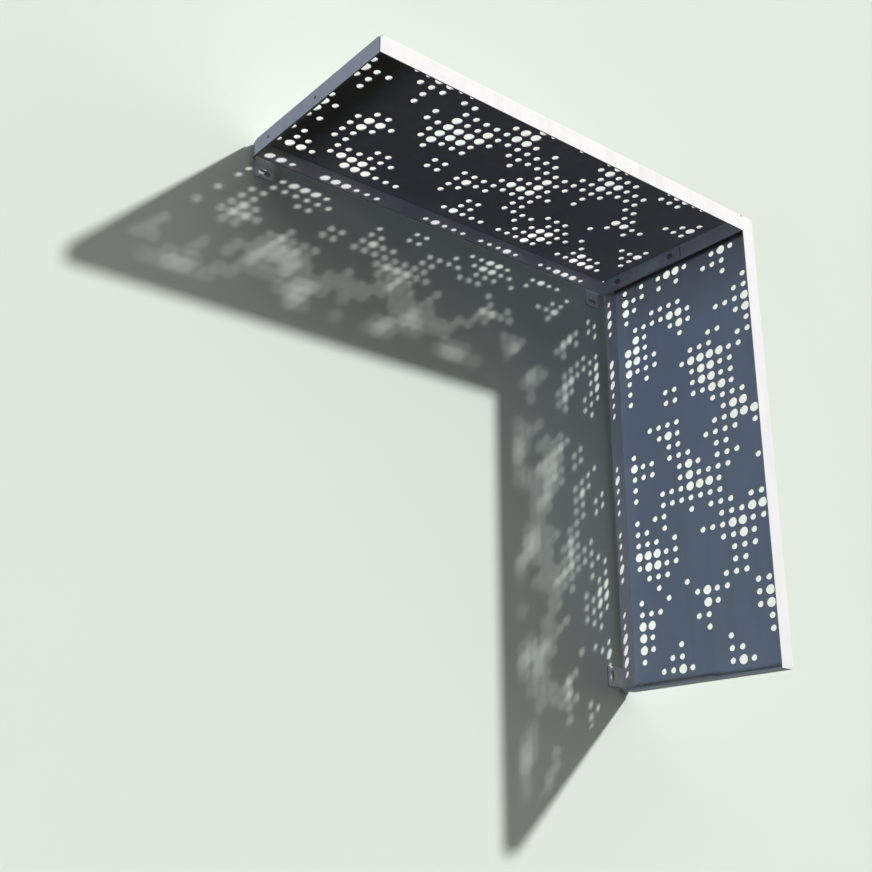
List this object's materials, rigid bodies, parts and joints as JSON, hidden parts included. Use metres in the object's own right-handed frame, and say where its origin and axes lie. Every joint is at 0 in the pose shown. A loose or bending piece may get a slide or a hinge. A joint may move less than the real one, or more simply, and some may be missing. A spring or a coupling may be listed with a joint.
{
  "type": "perforated window sunshade",
  "caption": "L-shaped window sunshade of folded perforated sheet trays, a canopy over the head and a fin down one jamb, on slotted wall brackets.",
  "frame": {"origin": "centre of the footprint, on the wall plane that the sunshade lies on", "axes": "+X along the wall to the fin, +Y up the wall to the canopy, +Z out of the wall"},
  "size_m": [1.246, 1.206, 0.52],
  "materials": {
    "panel_coat": "powder-coated aluminium sheet, satin",
    "bracket_plate": "galvanised steel plate, dull"
  },
  "bodies": {
    "root": {"canopy_panel": "panel_coat", "fin_panel": "panel_coat", "left_bracket": "bracket_plate", "corner_bracket": "bracket_plate", "fin_bracket": "bracket_plate"}
  },
  "joints": []
}
